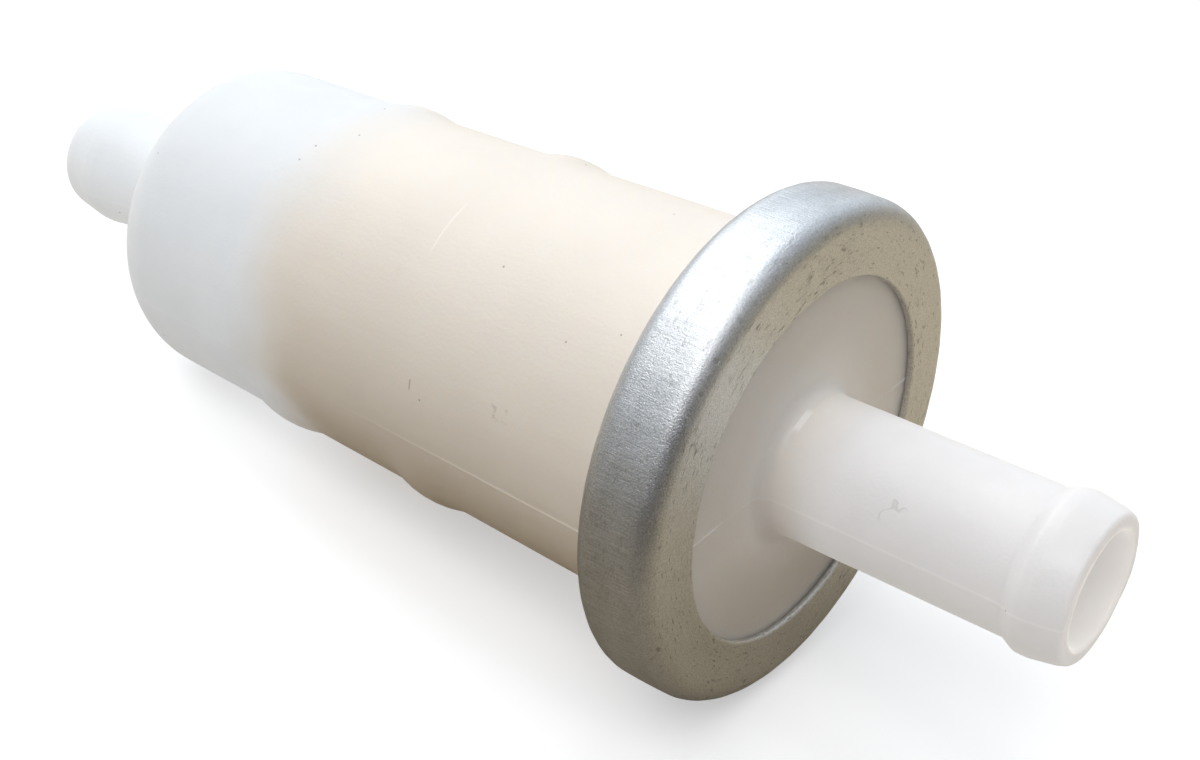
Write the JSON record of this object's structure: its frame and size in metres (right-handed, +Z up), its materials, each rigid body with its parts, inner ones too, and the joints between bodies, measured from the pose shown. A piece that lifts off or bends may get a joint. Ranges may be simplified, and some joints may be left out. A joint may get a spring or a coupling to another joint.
{
  "type": "inline fuel filter",
  "caption": "Disposable inline fuel filter: translucent plastic cup and end cap with hose nipples, joined by a crimped steel band over a paper element.",
  "frame": {"origin": "on the filter's axis, midway between the tips of the two nipples", "axes": "+X along the filter's axis in the direction of flow, from the inlet nipple to the outlet nipple; +Z up"},
  "size_m": [0.0932, 0.0356, 0.0356],
  "materials": {
    "housing_plastic": "translucent natural nylon, moulded",
    "cap_plastic": "translucent natural nylon, moulded",
    "plated_steel": "bright zinc plate, finely pitted",
    "gasket_rubber": "matte nitrile rubber",
    "wrap_paper": "porous brown paper",
    "filter_paper": "resin-treated pleated paper",
    "core_plastic": "natural polypropylene",
    "disc_plastic": "natural nylon",
    "adhesive": "cured amber adhesive"
  },
  "bodies": {
    "root": {"cup_housing": "housing_plastic", "end_cap": "cap_plastic", "crimp_ring": "plated_steel", "flange_gasket": "gasket_rubber", "element_wrap": "wrap_paper", "pleated_paper": "filter_paper", "support_tube": "core_plastic", "open_end_disc": "disc_plastic", "closed_end_disc": "disc_plastic", "open_end_adhesive": "adhesive", "closed_end_adhesive": "adhesive", "element_seal": "gasket_rubber"}
  },
  "joints": []
}
